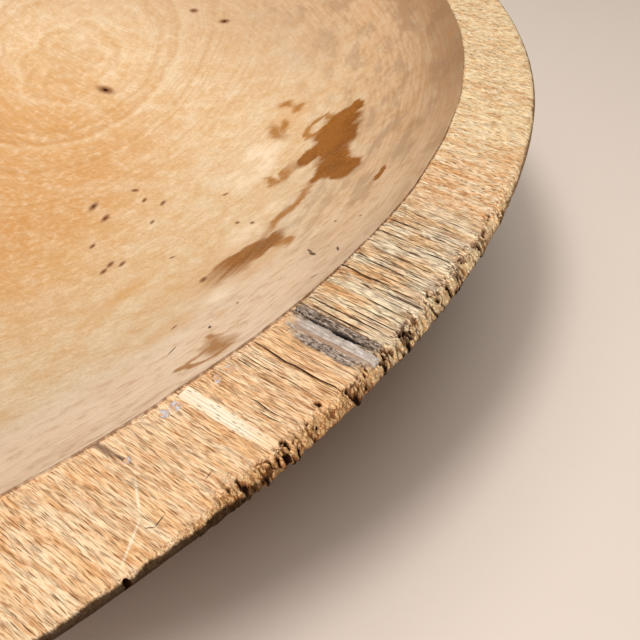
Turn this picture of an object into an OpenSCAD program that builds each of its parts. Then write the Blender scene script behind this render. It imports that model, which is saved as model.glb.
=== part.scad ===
// Round dough bowl cut from one block of wood, with a filled split and a let-in slip in its rim.
// The grain of the block runs along X, Z is up, and the flat foot stands on Z = 0.

/* [Bowl] */
// Diameter across the rim
rim_d = 600; // [520:5:680]
// Height from the foot to the top of the rim
bowl_h = 142; // [130:1:160]
// Width of the flat top of the rim
rim_w = 24; // [21:0.5:30]
// Thickness of the wood under the middle of the hollow
floor_t = 26; // [20:1:34]
// Height of the upright edge under the top of the rim
edge_h = 5; // [4:0.5:9]
// Radius worn on the outer corner of the rim
edge_round = 2; // [1:0.25:3]
// Diameter of the flat foot
foot_d = 180; // [150:5:220]
// How far the outside swells past a straight slope from the foot to the edge
belly = 18; // [12:1:24]

/* [Filled split] */
// Distance of the open crack from the middle of the bowl, across the grain
crack_y = 22; // [12:1:36]
// Width of the open crack
crack_w = 0.3; // [0.2:0.05:0.6]
// Depth of the split and of the filler in it
fill_depth = 4; // [2:0.5:6]
// How far the filler has shrunk below the top of the rim
fill_sink = 0.2; // [0.1:0.05:0.5]
// Width of the dark filler run
dark_w = 2.6; // [1.5:0.1:4]
// Wood left between the dark run and the lip of the hollow
dark_lip = 0.8; // [0.6:0.1:3]
// Wood left between the dark run and the outer edge
dark_edge = 4.5; // [2:0.5:7]
// Width of the pale filler run
pale_w = 3.3; // [2:0.1:5]
// Wood left between the pale run and the lip of the hollow
pale_lip = 1; // [0.6:0.1:3]
// Wood left between the pale run and the outer edge
pale_edge = 2.5; // [2:0.5:7]
// Width of the sliver of wood between the pale and the speckled run
sliver_w = 0.5; // [0.4:0.1:1.5]
// Width of the speckled filler run
speckled_w = 1.8; // [1:0.1:3]
// Wood left between the speckled run and the lip of the hollow
speckled_lip = 3.4; // [0.6:0.1:5]
// Wood left between the speckled run and the outer edge
speckled_edge = 4.5; // [2:0.5:7]
// Length over which each run narrows towards its ends
fill_taper = 4; // [2:0.5:6]

/* [Rim slip] */
// Distance of the slip from the middle of the bowl, across the grain
slip_y = 50; // [42:1:80]
// Width of the slip
slip_w = 2.8; // [2:0.1:4]
// Thickness of the slip
slip_t = 3; // [2:0.5:5]
// Wood left between the slip and the lip of the hollow
slip_lip = 0.8; // [0.6:0.1:3]
// Wood left between the slip and the outer edge
slip_edge = 3; // [2:0.5:7]
// Width of the step at the broken outer end of the slip
slip_step_w = 0.5; // [0.2:0.1:0.8]
// Length of the slip past that step
slip_step_l = 5; // [2:0.5:8]

/* [Putty dabs] */
// Depth of the worm holes that the dabs close
dab_depth = 1.2; // [0.6:0.1:2]
// How far a dab domes above the rim
dab_rise = 0.2; // [0.1:0.05:0.4]
// Diameter of the dabs
dab_d = 1.8; // [1.2:0.1:2.4]
// Distance of the dabs from the lip of the hollow
dab_lip = 2.6; // [1.6:0.1:5]
// Clearance round everything that is let into the rim
let_in_clear = 0.05; // [0.03:0.01:0.1]

/* [Hidden] */
$fn = 128;
eps = 1;
// Each dab: distance from the middle of the bowl across the grain, shift away from the lip, share of the diameter
dab_places = [[41, 0, 1], [44.2, 0, 1], [53.2, 0, 1], [55.4, 0, 1], [65.6, 3.9, 0.6]];
rim_r = rim_d / 2;
lip_r = rim_r - rim_w;
foot_r = foot_d / 2;
// The hollow is a ball that meets the lip and leaves the floor
hollow_h = bowl_h - floor_t;
hollow_r = (lip_r ^ 2 + hollow_h ^ 2) / (2 * hollow_h);
// The outside is an arc from the foot to the underside of the edge
slope = [rim_r - foot_r, bowl_h - edge_h];
slope_l = norm(slope);
belly_r = ((slope_l / 2) ^ 2 + belly ^ 2) / (2 * belly);
belly_out = [slope.y, -slope.x] / slope_l;
belly_centre = [foot_r, 0] + slope / 2 - belly_out * (belly_r - belly);
// Middle line of each run, on the -Y side of the bowl
dark_y = -(crack_y - crack_w / 2 - dark_w / 2);
pale_y = -(crack_y + crack_w / 2 + pale_w / 2);
speckled_y = pale_y - pale_w / 2 - sliver_w - speckled_w / 2;

// Where the lip of the hollow and the outer edge lie on a line along the grain
function lip_x(y) = sqrt(lip_r ^ 2 - y ^ 2);
function edge_x(y) = sqrt(rim_r ^ 2 - y ^ 2);

// Half section of the block: a square corner rounded by wear, over the swelling outside
module half_section() {
  difference() {
    intersection() {
      square([rim_r, bowl_h]);
      translate(belly_centre) circle(belly_r);
    }
    translate([rim_r - edge_round, bowl_h - edge_round]) {
      difference() {
        square(edge_round + eps);
        circle(edge_round);
      }
    }
  }
}

// Outline of a run along the grain, narrowing to half its width at both ends
module run_outline(y, w, lip, edge, grow) {
  x0 = lip_x(y) + lip - grow;
  x1 = edge_x(y) - edge + grow;
  side = w / 2 + grow;
  tip = w / 4 + grow;
  near = [[x0, -tip], [x0 + fill_taper, -side], [x1 - fill_taper, -side], [x1, -tip]];
  far = [for (i = [3:-1:0]) [near[i].x, -near[i].y]];
  translate([0, y]) polygon(concat(near, far));
}

// Outline of the slip, with one corner broken away at its outer end
module slip_outline(grow) {
  x0 = lip_x(slip_y) + slip_lip - grow;
  x1 = edge_x(slip_y) - slip_edge + grow;
  side = slip_w / 2 + grow;
  step = x1 - slip_step_l;
  broken = side - slip_step_w;
  translate([0, -slip_y])
    polygon([[x0, -side], [step, -side], [step, -broken], [x1, -broken], [x1, side], [x0, side]]);
}

// A body of the given outline, standing on the floor of a pocket this deep in the rim
module let_in(depth, h) {
  translate([0, 0, bowl_h - depth]) linear_extrude(h) children();
}

module run_pocket(y, w, lip, edge) {
  let_in(fill_depth, fill_depth + eps) run_outline(y, w, lip, edge, let_in_clear);
}

module run_body(y, w, lip, edge) {
  let_in(fill_depth, fill_depth - fill_sink) run_outline(y, w, lip, edge, 0);
}

// The crack stands open between the dark and the pale run
module crack() {
  x0 = lip_x(crack_y) + max(dark_lip, pale_lip);
  x1 = edge_x(crack_y) - max(dark_edge, pale_edge);
  w = crack_w + 2 * let_in_clear;
  let_in(fill_depth, fill_depth + eps) translate([x0, -crack_y - w / 2]) square([x1 - x0, w]);
}

module at_dab(place) {
  translate([lip_x(place[0]) + dab_lip + place[1], -place[0], bowl_h - dab_depth]) children();
}

// A plug with a low dome
module dab(d) {
  dome_r = ((d / 2) ^ 2 + dab_rise ^ 2) / (2 * dab_rise);
  intersection() {
    cylinder(h = dab_depth + dab_rise, d = d);
    translate([0, 0, dab_depth + dab_rise - dome_r]) sphere(dome_r);
  }
}

module bowl() {
  color("burlywood")
  difference() {
    rotate_extrude() half_section();
    translate([0, 0, floor_t + hollow_r]) sphere(hollow_r);
    run_pocket(dark_y, dark_w, dark_lip, dark_edge);
    run_pocket(pale_y, pale_w, pale_lip, pale_edge);
    run_pocket(speckled_y, speckled_w, speckled_lip, speckled_edge);
    crack();
    let_in(slip_t, slip_t + eps) slip_outline(let_in_clear);
    for (place = dab_places)
      at_dab(place) cylinder(h = dab_depth + eps, d = dab_d * place[2] + 2 * let_in_clear);
  }
}

module fill_dark() {
  color("dimgray") run_body(dark_y, dark_w, dark_lip, dark_edge);
}

module fill_pale() {
  color("silver") run_body(pale_y, pale_w, pale_lip, pale_edge);
}

module fill_speckled() {
  color("gray") run_body(speckled_y, speckled_w, speckled_lip, speckled_edge);
}

module rim_slip() {
  color("wheat") let_in(slip_t, slip_t) slip_outline(0);
}

module putty_dabs() {
  color("lightsteelblue")
  for (place = dab_places)
    at_dab(place) dab(dab_d * place[2]);
}

bowl();
fill_dark();
fill_pale();
fill_speckled();
rim_slip();
putty_dabs();
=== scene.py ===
from math import asin, atan2, cos, degrees, hypot, pi, radians, sin
import random

import bmesh
import bpy
from mathutils import Matrix, Vector, noise


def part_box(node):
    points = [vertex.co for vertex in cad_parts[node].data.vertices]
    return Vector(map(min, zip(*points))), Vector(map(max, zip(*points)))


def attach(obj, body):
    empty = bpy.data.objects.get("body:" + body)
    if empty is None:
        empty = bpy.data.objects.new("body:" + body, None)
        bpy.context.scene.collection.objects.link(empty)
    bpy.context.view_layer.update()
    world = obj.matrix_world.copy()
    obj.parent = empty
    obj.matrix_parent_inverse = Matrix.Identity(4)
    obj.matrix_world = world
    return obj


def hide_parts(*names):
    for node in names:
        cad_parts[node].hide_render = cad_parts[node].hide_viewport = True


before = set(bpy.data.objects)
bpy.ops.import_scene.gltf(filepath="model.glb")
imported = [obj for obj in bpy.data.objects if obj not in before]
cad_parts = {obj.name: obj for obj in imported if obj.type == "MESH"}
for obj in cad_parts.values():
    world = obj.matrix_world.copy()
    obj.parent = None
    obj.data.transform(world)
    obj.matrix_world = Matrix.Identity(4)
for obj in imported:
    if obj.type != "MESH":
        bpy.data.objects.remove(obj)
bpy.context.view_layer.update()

# The bowl: one round block of open-pored wood, hollowed to a shallow ball and left with a wide flat rim.
# The grain runs along X, so the rim is cut across the fibres at both X ends. There its outer edge has
# crumbled and drying checks run across it; the hollow is scraped smooth and stained by use.
MM = 0.001
rim_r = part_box("bowl")[1].x / MM
rim_z = 142.0
rim_w = 24.0
floor_t = 26.0
edge_h = 5.0
foot_r = 90.0
belly = 18.0
lip_r = rim_r - rim_w
arris = 0.6
weld = 0.005

turns = 240
hollow_steps = 34
rim_steps = 3
outside_steps = 24
foot_steps = 4
rows_by_lip = (4.5, 1.4)

hollow_h = rim_z - floor_t
hollow_r = (lip_r ** 2 + hollow_h ** 2) / (2 * hollow_h)
hollow_top = asin(lip_r / hollow_r)
rise = rim_z - edge_h
slope = Vector((rim_r - foot_r, rise))
belly_r = ((slope.length / 2) ** 2 + belly ** 2) / (2 * belly)
belly_at = Vector((foot_r, 0)) + slope / 2 - Vector((slope.y, -slope.x)).normalized() * (belly_r - belly)
belly_from = atan2(rise - belly_at.y, rim_r - belly_at.x)
belly_to = atan2(-belly_at.y, foot_r - belly_at.x)
section = []
for turn in [hollow_top * i / hollow_steps for i in range(hollow_steps)] + [
        hollow_top - back / hollow_r for back in rows_by_lip]:
    section.append((hollow_r * sin(turn), floor_t + hollow_r * (1 - cos(turn))))
for i in range(rim_steps + 1):
    section.append((lip_r + rim_w * i / rim_steps, rim_z))
section.append((rim_r, rise))
for turn in [belly_from - arris / belly_r] + [
        belly_from + (belly_to - belly_from) * i / outside_steps for i in range(1, outside_steps + 1)]:
    section.append((belly_at.x + belly_r * cos(turn), belly_at.y + belly_r * sin(turn)))
for i in range(foot_steps - 1, -1, -1):
    section.append((foot_r * i / foot_steps, 0))

bpy.ops.object.select_all(action="DESELECT")
bpy.ops.mesh.primitive_plane_add(size=arris * MM)
bowl = bpy.context.object
bowl.name = "bowl_block"
bpy.ops.object.mode_set(mode="EDIT")
bpy.ops.mesh.select_all(action="SELECT")
bpy.ops.mesh.merge(type="CENTER")
bpy.ops.transform.translate(value=(section[0][0] * MM, 0, section[0][1] * MM))
for here, there in zip(section, section[1:]):
    bpy.ops.mesh.extrude_region_move(
        TRANSFORM_OT_translate={"value": ((there[0] - here[0]) * MM, 0, (there[1] - here[1]) * MM)})
bpy.ops.mesh.select_all(action="SELECT")
bpy.ops.mesh.spin(steps=turns, angle=2 * pi, center=(0, 0, 0), axis=(0, 0, 1))
bpy.ops.mesh.select_all(action="SELECT")
bpy.ops.mesh.remove_doubles(threshold=weld * MM)
bpy.ops.mesh.normals_make_consistent(inside=False)


def refine(cuts, start, end, inner):
    """Subdivides the rim's faces between two bearings, from a radius outwards."""
    edit = bmesh.from_edit_mesh(bpy.context.object.data)
    bpy.ops.mesh.select_all(action="DESELECT")
    for face in edit.faces:
        mid = face.calc_center_median() / MM
        if mid.z > rise - 0.1 and hypot(mid.x, mid.y) > inner and start < degrees(atan2(mid.y, mid.x)) < end:
            face.select_set(True)
    bmesh.update_edit_mesh(bpy.context.object.data)
    bpy.ops.mesh.subdivide(number_cuts=cuts)


# The rim's mesh is finer all round, finer again at one end of the grain, and finest at that end's edge
refine(3, -180, 180, lip_r - 0.8)
refine(1, 17, 42, lip_r)
refine(3, -19, 17, lip_r - 0.8)
refine(1, -16, 12.6, rim_r - 6)
bpy.ops.object.mode_set(mode="OBJECT")


def hum(x, y, z=0.0):
    """Smooth noise from -1 to 1."""
    return noise.noise(Vector((x, y, z)))


def ease(value, low, high):
    """0 below low, 1 above high, smooth between."""
    share = min(1.0, max(0.0, (value - low) / (high - low)))
    return share * share * (3 - 2 * share)


def carve(cutter):
    """Cuts the cutter out of the bowl and clears it away."""
    cut = bowl.modifiers.new("cut", "BOOLEAN")
    cut.operation = "DIFFERENCE"
    cut.solver = "EXACT"
    cut.object = cutter
    bpy.ops.object.select_all(action="DESELECT")
    bowl.select_set(True)
    bpy.context.view_layer.objects.active = bowl
    bpy.ops.object.modifier_apply(modifier=cut.name)
    bpy.data.objects.remove(cutter)


# Pockets for what is let into the rim, cut by copies of those pieces drawn up out of the wood
crack_w = 0.3
crack_slack = 0.02
pocket_top = rim_z - 0.6
drawn_to = rim_z + 3
for name in ["fill_dark", "fill_pale", "fill_speckled", "rim_slip", "putty_dabs"]:
    bpy.ops.object.select_all(action="DESELECT")
    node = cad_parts[name]
    node.select_set(True)
    bpy.context.view_layer.objects.active = node
    bpy.ops.object.duplicate()
    cutter = bpy.context.object
    bpy.ops.object.mode_set(mode="EDIT")
    bpy.ops.mesh.select_all(action="SELECT")
    bpy.ops.mesh.remove_doubles(threshold=weld * MM)
    bpy.ops.object.mode_set(mode="OBJECT")
    box_low, box_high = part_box(name)
    for v in cutter.data.vertices:
        if v.co.z > pocket_top * MM:
            v.co.z = drawn_to * MM
        if name == "fill_dark" and v.co.y < (box_low.y + box_high.y) / 2:
            v.co.y -= (crack_w + crack_slack) * MM
    carve(cutter)

# Drying checks: y, x from, x to and width of each, then a scatter of finer ones at both ends
checks = [
    (-38.5, 274.6, 278.5, 0.6), (-37, 275, 294, 0.3), (-33.4, 274, 297, 0.6), (-30, 276, 285, 0.25),
    (-18.3, 277, 293, 0.6), (-16.5, 275.5, 294, 0.65), (-14.4, 284, 297, 0.5), (-12, 290, 297, 0.45),
    (-10, 286, 297, 0.45), (-8, 287, 296, 0.45), (-6, 285, 298, 0.6), (-3.7, 275, 288.5, 1.1),
    (-4.4, 286.5, 295, 0.5), (-1.6, 283, 294, 0.45), (0.5, 275.5, 282, 0.4), (1.1, 277, 290.5, 0.75),
    (0.3, 289.5, 298, 0.5), (1.7, 275.5, 280, 0.5), (3, 284, 291, 0.45), (5.5, 279, 295, 0.7),
    (7.8, 275, 279.5, 0.5), (8.8, 282, 289, 0.45), (12.3, 275.5, 283.5, 0.8), (12.1, 285.5, 292.5, 0.6),
    (11, 289, 297, 0.8), (16.2, 277.5, 282, 0.4), (16, 284.5, 289.5, 0.75), (17.8, 275, 285, 1.1),
    (17.2, 287, 297, 0.7), (19.8, 279.5, 287, 0.5), (21, 280.5, 286, 0.4), (21.8, 287, 294, 0.4),
    (25.5, 274.5, 279, 0.4), (36.7, 273.5, 278.5, 0.5)]
seed = random.Random(5)
for i in range(60):
    y = seed.uniform(-52, 34)
    length = seed.uniform(4, 12)
    start = seed.uniform((lip_r ** 2 - y * y) ** 0.5 + 0.4, rim_r - length - 4)
    if all(abs(y - taken[0]) > 0.7 for taken in checks) and not (-29.5 < y < -18 or -53 < y < -47):
        checks.append((y, start, start + length, seed.uniform(0.16, 0.34)))
for i in range(60):
    y = seed.gauss(0, 26)
    length = seed.uniform(4, 17)
    start = -seed.uniform(lip_r - 2, rim_r - length)
    if all(abs(y - taken[0]) > 0.8 or taken[1] > 0 for taken in checks):
        checks.append((y, start - length, start, seed.uniform(0.2, 0.7)))
# Holes: x, y, z, length along the grain and width; notches in the edge, then worm holes in the hollow
holes = [
    (295.2, -49.4, 141.2, 2.4, 2), (289, -79.3, 141.3, 2, 1.3), (297.2, -21.4, 141.4, 1.8, 1.3),
    (297.8, -19.6, 141.4, 1.5, 1.1), (296, -20.2, 141.5, 1.3, 0.8), (297.2, -13.4, 141.4, 1.6, 1.5),
    (297.8, -11.8, 141.4, 1.3, 1), (295.4, -32.8, 141.5, 1.2, 0.9), (295.8, -41.6, 141.4, 1.2, 0.9),
    (297.8, 9, 141.4, 1.4, 0.9), (297.6, 10.8, 141.4, 1.5, 1), (297.2, 23.6, 141.4, 1.4, 0.9),
    (20, 141, 0, 4, 1.6), (95, 62, 0, 1.6, 1.2), (111, 56, 0, 1.4, 1.1), (67, 200, 0, 2.4, 1.2),
    (-120, 40, 0, 4, 2.2), (-60, -130, 0, 5, 2.6), (-180, -60, 0, 4, 1.8)]


def carve_ovals(ovals, turned):
    """Cuts ovals out of the bowl, a little out of true: place, half lengths, segments and rings of each."""
    bpy.ops.object.select_all(action="DESELECT")
    bpy.ops.mesh.primitive_uv_sphere_add(segments=4, ring_count=3, radius=MM, location=(0, 0, 0.5))
    cutter = bpy.context.object
    bpy.ops.object.transform_apply(location=True, rotation=True, scale=True)
    bpy.ops.object.mode_set(mode="EDIT")
    for place, half, segments, ring_count in ovals:
        bpy.ops.mesh.primitive_uv_sphere_add(
            segments=segments, ring_count=ring_count, radius=1, rotation=(0, turned, 0),
            location=Vector(place) * MM, scale=Vector(half) * MM)
    bpy.ops.object.mode_set(mode="OBJECT")
    for v in cutter.data.vertices:
        x, y = v.co.x / MM, v.co.y / MM
        v.co.y += (0.35 * hum(x / 5, y / 2, 3) + 0.12 * hum(x / 1.5, y / 2, 5)) * MM
    carve(cutter)


carve_ovals([(((start + end) / 2, y, rim_z), (0.5 + 1.6 * width, 0.4 * width, (end - start) / 2), 8,
              max(6, int((end - start) / 1.2))) for y, start, end, width in checks], pi / 2)
hole_gap = 0.4
groups = []
for hole in holes:
    x, y, z, length, width = hole
    free = [group for group in groups if all(
        hypot(x - other[0], y - other[1]) > (length + other[3]) / 2 + hole_gap for other in group)]
    if free:
        free[0].append(hole)
    else:
        groups.append([hole])
for group in groups:
    carve_ovals([((x, y, z or floor_t + hollow_r - (hollow_r ** 2 - x * x - y * y) ** 0.5),
                  (length / 2, width / 2, width * 0.8), 12, 8) for x, y, z, length, width in group], 0)


def crumbled(x, y):
    """How far the edge has crumbled at this bearing, 0 to 1."""
    turn = degrees(atan2(y, abs(x)))
    if x > 0:
        share = ease(turn, -15, -10) * (1 - ease(turn, 5, 15))
    else:
        share = ease(turn, -12, -6) * (1 - ease(turn, 9, 16))
    return (0.08 + 0.92 * share) * (0.9 + 0.3 * hum(turn / 2.5, 4 if x > 0 else 8))


# Where the edge has crumbled most: y and reach of each place
worst_places = ((-49, 3), (-20.5, 5), (-13, 4), (8.5, 6), (24, 4), (-31, 3))


def edge_wear(x, y, r):
    """How many millimetres the rim's flat has dropped by its edge, and how deep in a crevice the point is."""
    share = crumbled(x, y)
    inset = rim_r - r
    bundle = noise.cell(Vector((y / 1.7 + 60, 0.5, 0.5)))
    band = 1.3 + share * (2.9 + 1.3 * hum(y / 11, 7.3) + 1.7 * bundle + 0.8 * hum(y / 0.9, 2.1))
    depth = 1 - inset / band
    if depth <= 0:
        return 0.0, 0.0
    ragged = ease(depth, 0, 0.2) * share
    worst = max(0.0, max(1 - abs(y - at) / reach for at, reach in worst_places))
    near, spots = noise.voronoi(Vector((
        x / 2.3 + 0.8 * hum(x / 2, y / 2, 5), y / 0.95 + 0.7 * hum(x / 3, y / 3, 9), 0.3)))
    crevice = 1 - ease(near[1] - near[0], 0.02, 0.26)
    clump = noise.cell(spots[0] * 7.3)
    hollowed = hum(x / 1.7, y / 0.8, 1.7) + 0.35 * hum(x / 0.7, y / 0.5, 3.7)
    hollowed = ease(hollowed, 0.3 - 0.3 * worst, 0.55 - 0.25 * worst)
    drop = share * (0.2 * ease(depth, 0, 0.12) + 2.2 * depth ** 1.8) + 0.7 * depth * depth
    crevice *= 0.15 + 0.85 * ease(hum(x / 3.4, y / 2.6, 6) + 0.4 * worst, -0.1, 0.35)
    broken = 0.5 * crevice + 0.45 * clump + 0.3 * hum(x / 1.5, y / 0.6, 8) + (0.8 + 0.6 * worst) * hollowed
    drop += ragged * broken
    return max(0.0, drop), ragged * min(1.0, 0.8 * crevice + hollowed)


def rim_dip(x, y):
    """How far the rim's flat has worn below its full height, in millimetres."""
    return 0.3 + 0.3 * hum(x / 45, y / 45, 1) + 0.06 * hum(x / 12, y / 2.2, 4)


# Wear, and what the wood's finish is to know of each point: how far past the lip it lies, whether it is on
# the outside or inside a cut, and how far it has crumbled or sunk into a pit
worn_to = 7.0
undercut = 2.0
edge_reach = 6
lip_reach = 8
on_face = 0.06
past_lip, outside, crumb, pits, cut_in = [], [], [], [], []
for v in bowl.data.vertices:
    x, y, z = v.co / MM
    r = hypot(x, y)
    below = rim_z - z
    turn = atan2(y, x)
    hollow_off = Vector((x, y, z - floor_t - hollow_r)).length - hollow_r
    is_hollow = abs(hollow_off) < on_face and below > 0.01
    is_outside = below > edge_h + 0.01 and not is_hollow and hollow_off > 6
    is_rim = r > lip_r - 0.05 and below < edge_h + 0.01
    past_lip.append(r - lip_r)
    in_rim = hollow_off > on_face and 0.02 < below < edge_h - 0.05 and r < rim_r - 0.05
    cut_in.append(1.0 if in_rim or (hollow_off > 0.3 and not is_outside and not is_rim) else 0.0)
    crumb_here = pit_here = 0.0
    if is_rim:
        drop, pit_here = edge_wear(x, y, r)
        drop += rim_dip(x, y)
        crumb_here = min(1.0, max(0.0, (drop - 0.7) / 0.6)) * ease(crumbled(x, y), 0.05, 0.4)
        lip_share = ease(r - lip_r, 0, 1.2)
        drop += (1 - lip_share) * (0.25 + 0.25 * hum(turn * 60, 3.3))
        z -= drop * max(0.0, 1 - below / worn_to)
        eaten = crumbled(x, y) * (0.5 + 0.35 * hum(x / 1.4, y / 1.1, z / 1.2) + 0.35 * hum(turn * 45, 2.5))
        eaten += 0.4 + 0.3 * hum(turn * 9, 6.5)
        r -= eaten * max(0.0, 1 - (rim_r - r) / edge_reach) + undercut * ease(below, 0.6, edge_h)
    if is_outside:
        z_share = ease(z, 0, 8)
        shave = z_share * (0.45 + 0.45 * noise.cell(Vector((turn * 11 + 40, z / 26, 0.5))) * 0.6
                           + 0.35 * hum(turn * 9, z / 22, 3))
        r -= max(0.0, shave) + undercut * ease(z, rise - 60, rise)
    if is_hollow and r > 1:
        sway = 0.5 * hum(x / 70, y / 70, 11) * ease(lip_r - r, 0, 40)
        z += sway
    around = lip_r + (0.35 * hum(turn * 14, 2.2) + 0.15 * hum(turn * 70, 8.2))
    if abs(r - lip_r) < lip_reach and below < lip_reach:
        r += (around - lip_r) * (1 - abs(r - lip_r) / lip_reach)
    v.co = Vector((cos(turn) * r, sin(turn) * r, z)) * MM
    outside.append(1.0 if is_outside else 0.0)
    crumb.append(crumb_here)
    pits.append(pit_here)
for name, values in [
        ("past_lip", past_lip), ("outside", outside), ("crumb", crumb), ("pits", pits), ("cut_in", cut_in)]:
    bowl.data.attributes.new(name, "FLOAT", "POINT").data.foreach_set("value", values)
bpy.ops.object.select_all(action="DESELECT")
bowl.select_set(True)
bpy.context.view_layer.objects.active = bowl
bpy.ops.object.shade_smooth_by_angle(angle=radians(38))


class Field:
    """A shader value: sums with it add Math nodes to its tree."""

    def __init__(self, tree, socket):
        self.tree = tree
        self.socket = socket

    def math(self, operation, *values):
        node = self.tree.nodes.new("ShaderNodeMath")
        node.operation = operation
        for port, value in zip(node.inputs, values):
            if isinstance(value, Field):
                self.tree.links.new(value.socket, port)
            else:
                port.default_value = value
        return Field(self.tree, node.outputs[0])

    def __add__(self, other):
        return self.math("ADD", self, other)

    def __sub__(self, other):
        return self.math("SUBTRACT", self, other)

    def __rsub__(self, other):
        return self.math("SUBTRACT", other, self)

    def __mul__(self, other):
        return self.math("MULTIPLY", self, other)

    def __truediv__(self, other):
        return self.math("DIVIDE", self, other)

    def __pow__(self, other):
        return self.math("POWER", self, other)

    def __abs__(self):
        return self.math("ABSOLUTE", self)

    def least(self, other):
        return self.math("MINIMUM", self, other)

    def most(self, other):
        return self.math("MAXIMUM", self, other)

    __radd__ = __add__
    __rmul__ = __mul__


class Finish:
    """A material being made: node() adds any node to it and gives one of its outputs."""

    def __init__(self, name, specular=0.3):
        self.material = bpy.data.materials.new(name)
        self.material.use_nodes = True
        self.tree = self.material.node_tree
        self.shader = self.tree.nodes["Principled BSDF"]
        self.shader.inputs["Specular IOR Level"].default_value = specular
        place = self.node("TexCoord", output="Object")
        self.place = self.node("VectorMath", {"operation": "SCALE"}, {0: place, "Scale": 1 / MM})
        self.x, self.y, self.z = [
            self.node("SeparateXYZ", sockets={0: self.place}, output=axis) for axis in "XYZ"]

    def node(self, kind, settings={}, sockets={}, output=0):
        made = self.tree.nodes.new("ShaderNode" + kind)
        for key, value in settings.items():
            setattr(made, key, value)
        for key, value in sockets.items():
            if isinstance(value, Field):
                self.tree.links.new(value.socket, made.inputs[key])
            else:
                made.inputs[key].default_value = value
        return Field(self.tree, made.outputs[output])

    def attribute(self, name):
        return self.node("Attribute", {"attribute_name": name}, output="Fac")

    def vector(self, x, y, z):
        return self.node("CombineXYZ", sockets={0: x, 1: y, 2: z})

    def scaled(self, size):
        """The piece's own points in units of a size in millimetres."""
        return self.node("VectorMath", {"operation": "SCALE"}, {0: self.place, "Scale": 1 / size})

    def cells(self, place, feature="F1"):
        return self.node("TexVoronoi", {"feature": feature}, {"Vector": place, "Scale": 1, "Randomness": 1})

    def noise(self, place, detail=2.0, rough=0.5):
        return self.node("TexNoise", sockets={
            "Vector": place, "Scale": 1, "Detail": detail, "Roughness": rough})

    def step(self, value, start, end):
        """0 at start, 1 at end, smooth between and level beyond."""
        return self.node("MapRange", {"interpolation_type": "SMOOTHSTEP"},
                         {"Value": value, "From Min": start, "From Max": end})

    def mix(self, share, first, second, blend="MIX"):
        """Second colour laid over the first by a share; a colour is a Field or red, green and blue of 255."""
        first, second = [
            c if isinstance(c, Field) else (*[(v / 255) ** 2.2 for v in c], 1) for c in (first, second)]
        return self.node(
            "Mix", {"data_type": "RGBA", "blend_type": blend}, {0: share, 6: first, 7: second}, 2)

    def finish(self, piece, colour, roughness, height=None, reach=0.3):
        """Links the shader and puts the material on the piece; reach is the bump's depth in millimetres."""
        sockets = {"Base Color": colour, "Roughness": roughness}
        if height:
            sockets["Normal"] = self.node(
                "Bump", sockets={"Strength": 1, "Distance": reach * MM, "Height": height})
        for key, value in sockets.items():
            if isinstance(value, Field):
                self.tree.links.new(value.socket, self.shader.inputs[key])
            else:
                self.shader.inputs[key].default_value = value
        piece.data.materials.clear()
        piece.data.materials.append(self.material)


wood = Finish("old_wood", 0.08)
x, y, z, place = wood.x, wood.y, wood.z, wood.place
past = wood.attribute("past_lip")
rim = wood.step(past, -0.1, 0.1)
crumbs = wood.attribute("crumb")
deep = wood.attribute("pits")
inside_cut = wood.attribute("cut_in")
belly_side = wood.attribute("outside")

# Fibres, pores and fine checks run along X, and wander a little
sway = wood.noise(wood.scaled(16), 1) - 0.5
wave = wood.noise(wood.scaled(2.4), 1) - 0.5
across = y + sway * 1.2 + wave * 0.18
up = z + sway * 1.2


def along(length, width, shift=0.0):
    """Points in units of a length along the fibres and a width across them."""
    return wood.vector(x / length + shift, across / width, up / width)


broad = wood.noise(wood.scaled(55), 2)
streak = wood.noise(along(24, 2.2), 2)
patch = wood.noise(along(11, 3.6, 71), 2)
soft = wood.noise(along(3, 0.45, 41), 3, 0.65)
fibre = wood.noise(along(3, 0.2, 5), 2, 0.6)
fine = wood.noise(along(1.4, 0.12, 9), 1)
blotch = wood.noise(along(2.8, 1.5, 55), 3, 0.7)
breaks = wood.step(wood.noise(along(6, 1.3, 30), 1), 0.36, 0.58)
pore = wood.cells(along(3.4, 0.3, 3))
pore_dark = 1 - wood.step(pore, 0.16, 0.36)
tick = wood.cells(along(2.8, 0.8, 8))
hair = wood.noise(along(14, 0.26, 13), 1)
hair_soft = wood.step(hair, 0.5, 0.62) * breaks
hair_dark = wood.step(hair, 0.6, 0.65) * breaks
line_dark = wood.step(fibre, 0.53, 0.66)
ends = wood.step(abs(x), 225, 285)
aged = ends * (1 - wood.step(abs(y - 3), 16, 30))
thin = ends * (1 - wood.step(abs(y + 38), 8, 18))
plain = (1 - ends).most(wood.step(y, 16, 40))
tick_dark = (1 - wood.step(tick, 0.12, 0.32)) * plain * (0.4 + 0.6 * wood.step(y, -40, 0))

# Growth rings are flat sheets through the block; scraping went round it
rings = y * 0.389 - z * 0.92 - x * 0.052 + sway * 1.6
ring = wood.node("TexNoise", {"noise_dimensions": "1D"}, {
    "W": rings / 1.5, "Scale": 1, "Detail": 3, "Roughness": 0.6})
ring_fine = wood.node("TexNoise", {"noise_dimensions": "1D"}, {
    "W": rings / 0.45 + 90, "Scale": 1, "Detail": 1, "Roughness": 0.5})
radius = (x * x + y * y) ** 0.5
bearing = wood.node("Math", {"operation": "ARCTAN2"}, {0: y, 1: x})
scraped = wood.noise(wood.vector(radius / 0.9, bearing * 14, 0), 3)

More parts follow.
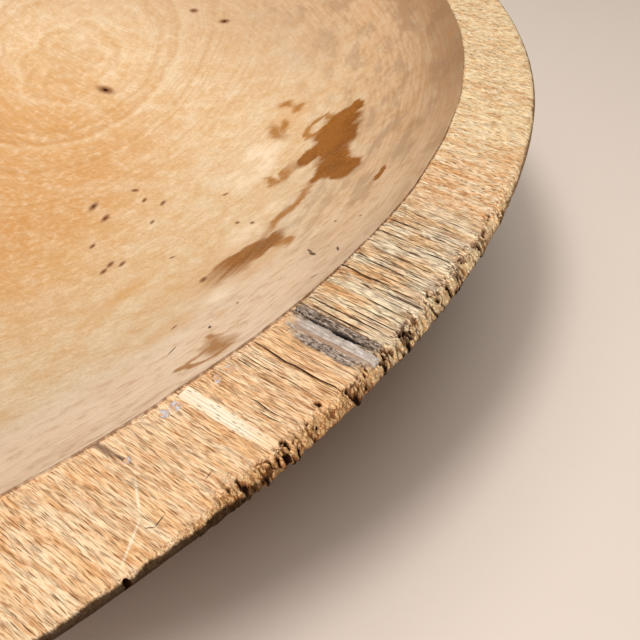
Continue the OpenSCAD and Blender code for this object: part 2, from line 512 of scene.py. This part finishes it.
# The hollow: warm at the middle, paler outwards, grey up its wall
cloud = wood.noise(wood.scaled(15), 3, 0.6)
grain = wood.noise(along(13, 0.9, 51), 3, 0.6)
thread = wood.noise(along(5, 0.4, 52), 2, 0.6)
hollow = wood.mix(wood.step(radius, 95, 175), (228, 168, 104), (238, 196, 148))
hollow = wood.mix(wood.step(radius, 190, 255) * (1 - wood.step(y, 20, 110)), hollow, (250, 222, 190))
hollow = wood.mix(wood.step(broad, 0.36, 0.68) * 0.4, hollow, (238, 190, 134))
outwards = wood.step(radius, 110, 190)
drawn = wood.noise(wood.vector(x / 34, y / 9, z / 9), 3, 0.6)
hollow = wood.mix(wood.step(drawn, 0.48, 0.66) * 0.28, hollow, (252, 226, 190))
hollow = wood.mix(wood.step(drawn, 0.5, 0.34) * 0.26, hollow, (222, 160, 96))
hollow = wood.mix(wood.step(cloud, 0.48, 0.7) * (0.12 + 0.28 * outwards), hollow, (250, 222, 186))
hollow = wood.mix(wood.step(cloud, 0.52, 0.3) * (0.22 + 0.12 * outwards), hollow, (222, 164, 102))
ringed = 0.25 + 0.75 * wood.step(((x + 20) ** 2 + (y - 150) ** 2) ** 0.5, 170, 80)
hollow = wood.mix(wood.step(ring, 0.46, 0.7) * 0.55 * ringed, hollow, (208, 152, 94))
hollow = wood.mix(wood.step(ring, 0.5, 0.3) * 0.45 * ringed, hollow, (250, 220, 178))
hollow = wood.mix(wood.step(grain, 0.48, 0.68) * 0.28, hollow, (252, 226, 190))
hollow = wood.mix(wood.step(grain, 0.5, 0.32) * 0.3, hollow, (210, 158, 104))
hollow = wood.mix(wood.step(thread, 0.52, 0.7) * 0.28, hollow, (196, 142, 90))
hollow = wood.mix(
    wood.step(ring_fine, 0.5, 0.72) * 0.3 * wood.step(cloud, 0.4, 0.62) * ringed, hollow, (206, 156, 104))
# The hollow is made a shade darker than the rim, most at its middle
darker_hollow = wood.mix(wood.step(radius, 80, 190), (229, 227, 225), (234, 241, 249))
hollow = wood.mix(wood.step(radius, 262, 235), hollow, darker_hollow, "MULTIPLY")
dapple = wood.noise(wood.scaled(4.5), 3, 0.65)
hollow = wood.mix(wood.step(dapple, 0.5, 0.7) * 0.22, hollow, (255, 232, 200))
hollow = wood.mix(wood.step(dapple, 0.5, 0.3) * 0.2, hollow, (196, 144, 92))
bleached = wood.step(radius, 222, 250) * (1 - wood.step(y + 10, 10, 70))
hollow = wood.mix(bleached * 0.5, hollow, (246, 222, 198))
wall = wood.step(radius, 218, 272) * (0.1 + 0.74 * wood.step(y, -40, 110))
wall = wall.most(wood.step(y, 120, 200) * wood.step(radius, 150, 240) * 0.66)
hollow = wood.mix(wall, hollow, (180, 144, 110))
hollow = wood.mix(wall * wood.step(scraped, 0.4, 0.7) * 0.45, hollow, (226, 196, 162))
smoked = wood.noise(wood.vector(radius / 7, bearing * 10, 4), 3, 0.65)
smoky = wood.step(radius, 205, 255) * wood.step(y, -10, 60) * wood.step(smoked, 0.46, 0.62)
hollow = wood.mix(smoky * 0.5, hollow, (152, 122, 96))
hollow = wood.mix(wood.step(past, -10, -3) * wood.step(y, -35, 0) * 0.28, hollow, (166, 130, 98))
# Painted shade: darker just inside the lip on the far side, where the lip shades the wall
hollow = wood.mix(wood.step(past, -20, -2) * wood.step(y, 60, 130) * 0.5, hollow, (124, 90, 62))
scored = wood.step(radius, 225, 262) * wood.step(scraped, 0.52, 0.34)
hollow = wood.mix(scored * 0.26, hollow, (172, 128, 88))
hollow = wood.mix(wood.step(radius, 215, 255) * wood.step(dapple, 0.5, 0.32) * 0.3, hollow, (176, 130, 88))

# Stains and specks in the hollow, laid out in plan and with their outlines let drift
plan = wood.vector(x, y, 0)
drift = []
for size, shift in ((11, 0), (11, 40), (3.4, 80), (3.4, 120)):
    shifted = wood.node(
        "VectorMath", {"operation": "MULTIPLY_ADD"}, {0: plan, 1: (1 / size,) * 3, 2: (shift, 0, shift)})
    drift.append(wood.noise(shifted, 2) - 0.5)
loose_plan = wood.vector(x + drift[0] * 11 + drift[2] * 3, y + drift[1] * 11 + drift[3] * 3, 0)


def blots(shapes, points=loose_plan):
    """Union of ovals: x, y, half length, half width and bearing of the length; a width below 0 makes a ring.

    Gives 0 at the middle of an oval, 1 at its outline and 2 far off; a ring gives 0 along its line.
    """
    nearest = None
    for px, py, half, wide, turned in shapes:
        local = wood.node("Mapping", {"vector_type": "TEXTURE"}, {
            "Vector": points, "Location": (px, py, 0), "Rotation": (0, 0, radians(turned)),
            "Scale": (2 * half, 2 * abs(wide), 2000)})
        off = 2 - 2 * wood.node("TexGradient", {"gradient_type": "SPHERICAL"}, {"Vector": local}, "Fac")
        if wide < 0:
            off = abs(off - 1) * 3.2
        nearest = nearest.least(off) if nearest else off
    return nearest


strong = blots([
    (208, 103, 21, 9.5, 123), (202, 110, 13, 6, 95), (202, 93, 9, 5, 95), (206, 120, 6, 4, 100),
    (229, 75, 10, 5.5, 132), (221, 81, 11, 6, 108), (252.5, 57.5, 4.6, 1.4, 96)])
fading = blots([(227, 29, 13, 5, 84), (220, 27, 11, 6, 72), (222, 20, 15, 8, 84)])
weak = blots([
    (220, 55, 22, 2.6, 95), (235, 30, 8, 2.2, 138), (193, 81, 9.5, 2.4, 155), (197.5, 84, 8.5, 2.3, 112),
    (191.5, 116, 5.5, -5.5, 0), (167, 118.5, 12, 2.8, 147), (169, 122, 7.5, 2.6, 130),
    (159, 137, 6, 2.4, 165), (168, 135, 4.4, 2.4, 0), (262, -31, 8, 3, 145), (255, -25, 4, 1.6, 150),
    (263.5, -36, 4, -4, 0)])
faint = blots([
    (214, 18, 24, 18, 100), (228, -14, 13, 8, 95), (245, -11, 4, 3, 90), (180, 5, 26, 8, 92),
    (167, 130, 14, 12, 140), (232, 22, 14, 10, 90), (20, 141, 11, 5, 0)])
pale_patch = blots([(207, 48, 17, 9, 95), (172, 95, 22, 14, 110), (232, 3, 8, 5, 90)])
specks = blots([
    (151, 21, 2.8, 1.7, 121), (149.5, 26, 3, 1.8, 121), (156, 27, 2.8, 1.6, 121), (136, 71, 2.6, 1.6, 121),
    (109, 78, 3, 1.4, 0), (214, 15, 2.6, 1.6, 130), (38, 205, 4, 1.6, 0), (181, 32, 1.5, 1, 20),
    (171, 76, 1.6, 1.1, 20), (122, 72, 2.2, 1.4, 121), (125, 36, 2.6, 1.6, 121), (143, 57, 2, 1.2, 121),
    (206, 51, 1.8, 0.9, 150), (197, 53, 1.8, 0.9, 150), (230, -14, 1.6, 0.7, 100), (262, 29, 1, 0.4, 140),
    (252, 33, 1.1, 0.4, 140), (247, -6, 1.1, 0.4, 140), (20, 141, 9, 3, 0), (95, 62, 4.4, 2.7, 121),
    (111, 56, 3.8, 2.4, 121), (67, 200, 5, 1.8, 0)], place)
strong_stain = 1 - wood.step(strong, 0.76, 1.16)
weak_stain = 1 - wood.step(weak, 0.3, 1.45)
faint_stain = 1 - wood.step(faint, 0.2, 1.2)
paled = (1 - wood.step(pale_patch, 0.2, 1.2)) * (0.35 + 0.65 * wood.step(cloud, 0.36, 0.6))
hollow = wood.mix(paled * 0.62, hollow, (254, 232, 204))
hollow = wood.mix(faint_stain * 0.4, hollow, (206, 150, 88))
hollow = wood.mix(weak_stain * (0.8 + 0.3 * drift[2]), hollow, (158, 97, 18))
tea = wood.mix(wood.step(cloud, 0.38, 0.62), (120, 68, 15), (141, 83, 23))
tea = wood.mix(wood.step(grain, 0.42, 0.66) * 0.6, tea, (160, 100, 37))
hollow = wood.mix(strong_stain * 0.95, hollow, tea)
wiped = wood.noise(wood.vector(radius / 2.4, bearing * 8, 6), 3, 0.6)
fade = wood.step(y + (wiped - 0.5) * 26, 1, 26) * (0.88 + 0.12 * wood.step(wiped, 0.36, 0.56))
hollow = wood.mix((1 - wood.step(fading, 0.72, 1.2)) * fade * 0.92, hollow, tea)
hollow = wood.mix((1 - wood.step(specks, 0.2, 1.3)) * 0.85, hollow, (100, 46, 10))

# The rim: fine dark lines where the fibres are cut across, weathered and greyed at the ends of the grain
rim_base = wood.mix(wood.step(streak, 0.3, 0.72), (252, 222, 182), (246, 202, 154))
clear = 1 - wood.step(abs(y + 11), 2, 5)
lined = 1 - 0.6 * clear
# far marks the far rim, painted lighter as painted light that makes up for the lamps' fall-off with distance;
# each use of far below also lays the rim's dark marks more thinly there, as the same painted light
far = wood.step(y, 30, 80)
rim_base = wood.mix(far * 0.85, rim_base, (255, 227, 177))
bands = wood.noise(along(60, 4.5, 33), 2)
rim_base = wood.mix(plain * wood.step(bands, 0.5, 0.62) * (0.6 - 0.32 * far), rim_base, (212, 146, 84))
rim_base = wood.mix((aged * 0.55).most(clear * ends * 0.8), rim_base, (255, 231, 188))
rim_base = wood.mix(wood.step(patch, 0.44, 0.7) * (0.4 - 0.16 * far), rim_base, (242, 184, 122))
rim_base = wood.mix(wood.step(soft, 0.46, 0.66) * (0.6 - 0.24 * far), rim_base, (200, 130, 72))
rim_base = wood.mix(wood.step(blotch, 0.52, 0.64) * plain * 0.45, rim_base, (196, 122, 66))
rim_base = wood.mix(wood.step(blotch, 0.5, 0.36) * plain * 0.85, rim_base, (255, 233, 197))
rim_base = wood.mix(wood.step(fine, 0.45, 0.72) * (0.3 - 0.12 * far), rim_base, (192, 122, 68))
outer = wood.step(past, 6, 14)
rim_base = wood.mix(aged * wood.step(patch, 0.56, 0.4) * 0.8, rim_base, (255, 234, 198))
greyed = wood.noise(along(9, 3.2, 21), 2)
rim_base = wood.mix(wood.step(greyed, 0.44, 0.64) * aged * (0.06 + 0.2 * outer), rim_base, (214, 188, 168))
rim_base = wood.mix(wood.step(greyed, 0.52, 0.34) * aged * (1 - outer) * 0.55, rim_base, (212, 138, 72))
rim_base = wood.mix(line_dark * (0.36 + 0.1 * thin + 0.06 * aged) * lined, rim_base, (132, 72, 32))
rim_base = wood.mix(wood.step(ring_fine, 0.52, 0.7) * 0.3 * (1 - aged - 0.6 * far), rim_base, (186, 116, 60))
rim_base = wood.mix(pore_dark * (0.42 + 0.25 * wood.step(y, -30, -55) - 0.14 * far), rim_base, (126, 68, 30))
rim_base = wood.mix(tick_dark * 0.8, rim_base, (104, 58, 27))
rim_base = wood.mix(hair_soft * (0.06 + 0.3 * thin + 0.45 * aged) * lined, rim_base, (178, 104, 48))
hair_deep = hair_dark * (0.03 + 0.42 * thin + 0.8 * aged) * (1 - 0.7 * clear)
rim_base = wood.mix(hair_deep, rim_base, (58, 28, 12))

# Filler smeared over the wood round the filled split
ragged_y = across + (wood.noise(along(3, 0.9, 61), 2) - 0.5) * 2.2
ragged_x = x + (wood.noise(along(1.6, 0.5, 62), 2) - 0.5) * 5
beyond = wood.step(ragged_y, -25.2, -26.4)
before = wood.step(ragged_y, -23, -22)
smeared = wood.step(ragged_x - 2.4 * beyond + 0.9 * before, 275.6, 277)
smeared = smeared * (1 - wood.step(ragged_x + 2 * beyond + before, 295, 297.5))
smeared = smeared * (1 - wood.step(abs(ragged_y + 23.4), 4, 4.8))
fleck = wood.noise(along(1.1, 0.5, 63), 3, 0.65)
filler = wood.mix(before, (186, 170, 158), (120, 102, 88))
filler = wood.mix(beyond, filler, (148, 128, 112))
filler = wood.mix(wood.step(fleck, 0.5, 0.6) * 0.9, filler, (52, 42, 36))
filler = wood.mix(wood.step(fleck, 0.44, 0.34) * 0.8, filler, (230, 216, 204))
rim_base = wood.mix(smeared * 0.8, rim_base, filler)

# Fresh chips where the edge has crumbled, in a lit colour and a painted shaded one mixed by noise, and
# painted shade in the gaps between crumbs and in the pits
lighter = wood.step(y, -34, -16)
chip_lit_tops = wood.mix(lighter, (240, 194, 136), (255, 232, 186))
chip_shaded_sides = wood.mix(lighter, (178, 114, 62), (244, 186, 124))
chips = wood.mix(wood.step(soft, 0.4, 0.6), chip_lit_tops, chip_shaded_sides)
rim_base = wood.mix(crumbs * 0.8, rim_base, chips)
grit_edge = wood.cells(wood.vector(x / 1.8 + wave * 0.8, across / 0.65, z / 0.7), "DISTANCE_TO_EDGE")
# Painted shade: dark gaps between the crumbs, then dark brown and near-black in the pits and crevices
rim_base = wood.mix(crumbs * (1 - wood.step(grit_edge, 0.01, 0.1)) * 0.25, rim_base, (104, 54, 20))
rim_base = wood.mix(wood.step(deep, 0.12, 0.5) * 0.75, rim_base, (112, 58, 22))
rim_base = wood.mix(wood.step(deep, 0.5, 0.9), rim_base, (34, 16, 7))

# Height of the surface for its bump: fibres, lines and pores, and grit on the chips
height = fine * 0.3 - line_dark * 0.5 - pore_dark * 0.4 - hair_dark
height = height * (0.1 + 0.9 * rim.most(belly_side)) * (0.35 + 0.65 * aged)
height = height + crumbs * (wood.step(grit_edge, 0, 0.25) * 0.25 + soft * 0.6)

# Scratches, an iron stain and rubbed lines, then painted shade along the lip, on the rim's outer edge and
# side and in the cuts, and the outside's own darker wood with painted shade under the rim
scratches = blots([
    (257.2, 13.4, 3.6, 0.55, 139), (254.2, 16.6, 3.2, 0.3, 137), (244.5, -28, 3, 0.4, 110),
    (267, 9.5, 2.6, 0.35, 125), (248, -18, 1.6, 0.5, 140), (269.6, -4.8, 1.2, 0.4, 30),
    (286, -70, 1.3, 0.14, 96), (286.8, -60, 1.2, 0.1, 95), (285.6, -71.6, 0.9, 0.12, 40)], place)
iron = blots([(270, -66.2, 3.4, 0.8, 4), (273.4, -65.8, 2.6, 0.45, 10)], place)
rubbed = blots([(280.4, -69, 4.2, 0.28, -38), (284.9, -74.6, 4.4, 0.28, -65)], place)
rim_base = wood.mix((1 - wood.step(iron, 0.3, 1.2)) * 0.75, rim_base, (92, 62, 52))
rim_base = wood.mix((1 - wood.step(rubbed, 0.3, 1.3)) * 0.6, rim_base, (255, 234, 204))
colour = wood.mix(rim, hollow, rim_base)
colour = wood.mix((1 - wood.step(scratches, 0.5, 1.1)) * 0.9, colour, (70, 46, 32))
# Painted shade: a broken dark line along the lip's edge
lip_shade_line = (1 - wood.step(abs(past - 0.05), 0.05, 0.32)) * (0.25 + 0.45 * breaks)
colour = wood.mix(lip_shade_line, colour, (134, 84, 48))
# Painted shade on the rim's outer edge: near-black on the rounded edge at the near end, dark brown along the
# edge at the far end
near_edge_shade = wood.step(past + (patch - 0.5) * 1.6 + (soft - 0.5) * 0.5, 22.9, 23.5) * wood.step(y, -48, -60)
far_edge_shade = wood.step(past + (patch - 0.5) * 2 + (soft - 0.5) * 2, 23, 23.6) * wood.step(y, 20, 40)
colour = wood.mix(rim * near_edge_shade * 0.94, colour, (50, 32, 18))
colour = wood.mix(rim * far_edge_shade * 0.75, colour, (108, 68, 38))
# Painted shade down the rim's side, below its flat
colour = wood.mix(rim * wood.step(z + (soft - 0.5) * 2.5, 138, 136.6) * 0.9, colour, (62, 40, 24))
back = wood.mix(wood.step(fibre, 0.35, 0.7), (164, 112, 68), (122, 80, 48))
back = wood.mix(wood.step(broad, 0.4, 0.65) * 0.5, back, (104, 70, 44))
# Painted shade: the outside darkens towards its top, under the overhanging rim
back = wood.mix(wood.step(z, 90, 136) * 0.6, back, (76, 50, 32))
colour = wood.mix(belly_side, colour, back)
# Dark wood and painted shade: the walls inside the cuts and holes are painted near-black
colour = wood.mix(wood.step(inside_cut, 0.04, 0.35), colour, (52, 29, 14))
wood.finish(bowl, colour, 0.5 + 0.35 * rim, height, 0.4)
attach(bowl, "root")
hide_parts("bowl")

# The dark filler: a fibrous grey-brown stopping pressed into the split and left ragged, with the open
# crack along its -Y side. It is set just below the rim's flat.


def let_in_piece(name, node, columns, rows, shape):
    """A block in the node's box: a gridded top, drawn down to the depth of its pocket, then shaped."""
    box_low, box_high = [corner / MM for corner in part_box(node)]
    bpy.ops.object.select_all(action="DESELECT")
    bpy.ops.mesh.primitive_grid_add(
        x_subdivisions=columns, y_subdivisions=rows, size=1,
        location=(*((box_low + box_high) / 2 * MM).xy, box_high.z * MM))
    piece = bpy.context.object
    piece.name = name
    piece.scale = (*((box_high - box_low) * MM).xy, 1)
    bpy.ops.object.transform_apply(location=True, rotation=True, scale=True)
    bpy.ops.object.mode_set(mode="EDIT")
    bpy.ops.mesh.select_all(action="SELECT")
    bpy.ops.mesh.extrude_region_move(TRANSFORM_OT_translate={"value": (0, 0, (box_low.z - box_high.z) * MM)})
    bpy.ops.mesh.select_all(action="SELECT")
    bpy.ops.mesh.normals_make_consistent(inside=False)
    bpy.ops.object.mode_set(mode="OBJECT")
    for v in piece.data.vertices:
        v.co = Vector(shape(*(v.co / MM), box_low, box_high)) * MM
    bpy.ops.object.shade_smooth_by_angle(angle=radians(40))
    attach(piece, "root")
    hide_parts(node)
    return piece


def fill_shape(sink, rough, open_side=0):
    """Spreads the top of a run raggedly over its pocket's edges, except at the side of the open crack."""
    def shape(x, y, z, low, high):
        middle = (low.y + high.y) / 2
        half = (high.y - low.y) / 2
        end = min(x - low.x, high.x - x)
        share = (y - middle) / half
        narrow = 0.5 + 0.5 * min(1.0, end / 4)
        if z > high.z - 1:
            side = 1 if share > 0 else -1
            spread = 0.3 + 0.34 * hum(x / 2.2, side * 3.1, 4) + 0.22 * hum(x / 0.6, side * 5.3, 6)
            if side == open_side:
                spread = side * (0.5 * hum(x / 3.5, 2.2, 9) + 0.2 * hum(x / 1.2, 2.2, 4))
                spread += 0.12 * hum(x / 0.5, 4.4, 3) - 0.12
            y = middle + share * (half * narrow + spread)
            x += 0.5 * hum(y / 0.7, x / 4, 8) * max(0.0, 1 - end / 2)
            z = rim_z - rim_dip(x, y) - sink - edge_wear(x, y, hypot(x, y))[0]
            z += rough * (hum(x / 3, y / 0.6, 2) + 0.7 * hum(x / 0.8, y / 0.35, 7)) - 0.12 * abs(share) ** 6
        else:
            y = middle + share * half * narrow
        return x, y, z
    return shape


fill_dark = let_in_piece("fill_dark_run", "fill_dark", 90, 16, fill_shape(-0.02, 0.16, -1))
dark = Finish("dark_filler", 0.2)
mottle = dark.noise(dark.vector(dark.x / 1.1, dark.y / 0.5, 0), 3, 0.65)
strands = dark.noise(dark.vector(dark.x / 5, dark.y / 0.4, 0), 3, 0.6)
colour = dark.mix(dark.step(strands, 0.38, 0.62), (98, 82, 70), (172, 150, 132))
colour = dark.mix(dark.step(mottle, 0.5, 0.6) * 0.9, colour, (50, 40, 34))
colour = dark.mix(dark.step(mottle, 0.44, 0.33) * 0.85, colour, (222, 206, 192))
# Painted shade: a near-black strip along the -Y side, where the open crack lies in shade
colour = dark.mix(dark.step(dark.y + (mottle - 0.5) * 1.4, -21.3, -21.8) * 0.95, colour, (24, 18, 15))
colour = dark.mix(dark.step(dark.y + (mottle - 0.5) * 1.6, -20, -19.1) * 0.6, colour, (150, 110, 76))
dark.finish(fill_dark, colour, 0.9, mottle, 0.5)

# The pale filler: a smooth grey stopping on the other side of the crack, smeared along the grain as it
# was wiped off, so that it is streaked and thin at its far side.
fill_pale = let_in_piece("fill_pale_run", "fill_pale", 90, 18, fill_shape(-0.04, 0.08, 1))
pale = Finish("pale_filler", 0.25)
smear = pale.noise(pale.vector(pale.x / 8, pale.y / 0.5, 0), 3, 0.6)
cloud = pale.noise(pale.vector(pale.x / 1.5, pale.y / 0.8, 0), 3, 0.65)
colour = pale.mix(pale.step(smear, 0.34, 0.66), (162, 145, 132), (200, 185, 173))
colour = pale.mix(pale.step(cloud, 0.52, 0.64) * 0.55, colour, (226, 214, 206))
colour = pale.mix(pale.step(cloud, 0.43, 0.33) * 0.6, colour, (104, 86, 74))
colour = pale.mix(pale.step(pale.y + (smear - 0.5) * 2, -24.2, -25.3) * 0.85, colour, (158, 122, 92))
colour = pale.mix(pale.step(pale.x + (cloud - 0.5) * 8, 282, 276) * 0.45, colour, (150, 124, 102))
colour = pale.mix(pale.step(pale.x + (smear - 0.5) * 12, 279, 276) * 0.8, colour, (226, 184, 138))
pale.finish(fill_pale, colour, 0.75, smear, 0.3)

# The speckled filler: a thin gritty run of the same stopping beyond a sliver of the wood. It is pressed
# into a pocket of its own and fades out at both ends.
fill_speckled = let_in_piece("fill_speckled_run", "fill_speckled", 80, 12, fill_shape(-0.02, 0.14))
grit = Finish("speckled_filler", 0.2)
fleck = grit.noise(grit.vector(grit.x / 0.9, grit.y / 0.45, 0), 3, 0.65)
smear = grit.noise(grit.vector(grit.x / 6, grit.y / 0.4, 0), 3, 0.6)
colour = grit.mix(grit.step(smear, 0.38, 0.62), (132, 112, 98), (186, 164, 148))
colour = grit.mix(grit.step(fleck, 0.5, 0.6) * 0.9, colour, (54, 44, 37))
colour = grit.mix(grit.step(fleck, 0.43, 0.33) * 0.85, colour, (222, 206, 192))
faded = grit.step(abs(grit.x - 286.5) + (smear - 0.5) * 12, 6, 8.5)
colour = grit.mix(faded * 0.75, colour, (226, 184, 138))
grit.finish(fill_speckled, colour, 0.9, fleck, 0.4)

# The slip: a thin strip of bare pale wood let in flush across the rim, grain along X, one corner broken
# off towards the outer edge.
step_w = 0.5
step_l = 5.0


def slip_shape(x, y, z, low, high):
    """Narrows the slip where its corner is gone, wavers its sides and wears its top down with the rim."""
    if x > high.x - step_l:
        share = (y - low.y) / (high.y - low.y)
        y = low.y + step_w + share * (high.y - low.y - step_w)
    y += 0.16 * hum(x / 2.2, y / 3, 5) + 0.08 * hum(x / 0.6, y / 3, 7)
    if z > high.z - 1:
        z = rim_z - rim_dip(x, y) + 0.05 - edge_wear(x, y, hypot(x, y))[0]
    return x, y, z


slip = let_in_piece("rim_slip_strip", "rim_slip", 84, 14, slip_shape)
bare = Finish("pale_wood")
grain = bare.noise(bare.vector(bare.x / 14, bare.y / 0.4, bare.z / 0.4), 2)
tick = bare.cells(bare.vector(bare.x / 2.4, bare.y / 0.5, bare.z / 0.5))
ticks = 1 - bare.step(tick, 0.05, 0.3)
colour = bare.mix(bare.step(grain, 0.4, 0.7), (246, 227, 199), (240, 212, 177))
colour = bare.mix(bare.step(bare.x + (grain - 0.5) * 9, 284, 293) * 0.85, colour, (240, 198, 150))
colour = bare.mix(bare.step(abs(bare.y + 50) + (tick - 0.4) * 0.8, 0.9, 1.5) * 0.5, colour, (238, 194, 146))
colour = bare.mix(ticks * 0.4, colour, (218, 176, 128))
bare.finish(slip, colour, 0.85, grain - ticks, 0.25)

# The dabs: chalky blue-white putty thumbed over worm holes beside the lip, each a small uneven blob that
# has worn thin in places. Each place is given as y, distance from the lip and half its width.
bpy.ops.object.select_all(action="DESELECT")
bpy.ops.mesh.primitive_uv_sphere_add(
    segments=4, ring_count=3, radius=0.001 * MM, location=(0.27, -0.05, 0.141))
dabs = bpy.context.object
dabs.name = "putty_dab_set"
bpy.ops.object.transform_apply(location=True, rotation=True, scale=True)
bpy.ops.object.mode_set(mode="EDIT")
dab_places = [(-41, 2.6, 1.05), (-44.2, 2.6, 1.0), (-53.2, 2.6, 1.1), (-55.4, 2.6, 0.95), (-65.6, 6.5, 0.6)]
for y, from_lip, half in dab_places:
    x = (lip_r ** 2 - y * y) ** 0.5 + from_lip
    bpy.ops.mesh.primitive_uv_sphere_add(
        segments=32, ring_count=16, radius=1, location=(x * MM, y * MM, (rim_z - rim_dip(x, y) - 0.12) * MM),
        scale=(half * 1.1 * MM, half * MM, 0.22 * MM))
bpy.ops.object.mode_set(mode="OBJECT")
for v in dabs.data.vertices:
    x, y, z = v.co / MM
    v.co = Vector((x + 0.6 * hum(x / 0.8, y / 0.8, 3), y + 0.6 * hum(x / 0.8, y / 0.8, 8),
                   z + 0.07 * hum(x / 0.35, y / 0.35, 5))) * MM
bpy.ops.object.shade_smooth()
chalk = Finish("putty", 0.25)
dust = chalk.noise(chalk.scaled(0.5), 2)
colour = chalk.mix(chalk.step(dust, 0.3, 0.55), (166, 150, 144), (204, 196, 198))
thinned = chalk.noise(chalk.scaled(0.9), 2)
worn_thin = chalk.step(thinned + chalk.step(chalk.y, -49, -46) * 0.08, 0.48, 0.58)
colour = chalk.mix(worn_thin * 0.9, colour, (208, 160, 116))
chalk.finish(dabs, colour, 0.8, dust, 0.2)
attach(dabs, "root")
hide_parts("putty_dabs")

# The floor: a plain round of warm beige paper that the bowl stands on.
floor_r = 2.6
bpy.ops.object.select_all(action="DESELECT")
bpy.ops.mesh.primitive_circle_add(vertices=96, radius=floor_r, fill_type="NGON")
floor = bpy.context.object
floor.name = "floor"
paper = Finish("paper")
grain = paper.noise(paper.scaled(90), 2)
paper.finish(floor, paper.mix(grain, (226, 209, 195), (229, 212, 198)), 0.8)

# The light: a small lamp and a softer one beside it, both high on the camera's side, in an even pale room.
grain_turn = radians(-31.1)
right = Vector((cos(grain_turn), -sin(grain_turn), 0))
forward = Vector((sin(grain_turn), cos(grain_turn), 0))
upward = Vector((0, 0, 1))
world = bpy.data.worlds.new("studio")
bpy.context.scene.world = world
world.use_nodes = True
sky = world.node_tree.nodes["Background"]
sky.inputs["Color"].default_value = (1, 0.93, 0.76, 1)
sky.inputs["Strength"].default_value = 0.14
backdrop = world.node_tree.nodes.new("ShaderNodeBackground")
backdrop.inputs["Color"].default_value = (0.84, 0.78, 0.72, 1)
seen = world.node_tree.nodes.new("ShaderNodeLightPath")
either = world.node_tree.nodes.new("ShaderNodeMixShader")
world.node_tree.links.new(seen.outputs["Is Camera Ray"], either.inputs[0])
world.node_tree.links.new(sky.outputs[0], either.inputs[1])
world.node_tree.links.new(backdrop.outputs[0], either.inputs[2])
world.node_tree.links.new(either.outputs[0], world.node_tree.nodes["World Output"].inputs[0])
near_end = Vector((280, 0, 140)) * MM
lamp_off = 3
for name, turn, lift, size, power in [("key", 218, 50.5, 0.5, 50), ("soft", 211, 62, 2.4, 71)]:
    lamp = bpy.data.lights.new(name, "AREA")
    lamp.shape = "DISK"
    lamp.size = size
    lamp.energy = power
    stand = bpy.data.objects.new(name, lamp)
    bpy.context.scene.collection.objects.link(stand)
    turn, lift = radians(turn), radians(lift)
    lit_from = (forward * cos(turn) + right * sin(turn)) * cos(lift) + upward * sin(lift)
    aim = lit_from.to_track_quat("Z", "Y").to_matrix().to_4x4()
    stand.matrix_world = Matrix.Translation(near_end + lit_from * lamp_off) @ aim

# The camera stands close over the +X end of the rim and looks down into the hollow.
pitch = radians(45)
roll = radians(4)
camera_at = Vector((326.8, -95.7, 229)) * MM
look = forward * cos(pitch) - upward * sin(pitch)
top = forward * sin(pitch) + upward * cos(pitch)
cam_right = right * cos(roll) + top * sin(roll)
cam_top = top * cos(roll) - right * sin(roll)
lens = bpy.data.cameras.new("camera")
lens.sensor_width = 36
lens.lens = 35
lens.clip_start = 0.005
camera = bpy.data.objects.new("camera", lens)
bpy.context.scene.collection.objects.link(camera)
facing = Matrix((cam_right, cam_top, -look)).transposed().to_4x4()
camera.matrix_world = Matrix.Translation(camera_at) @ facing
bpy.context.scene.camera = camera
bpy.context.scene.view_settings.view_transform = "Standard"
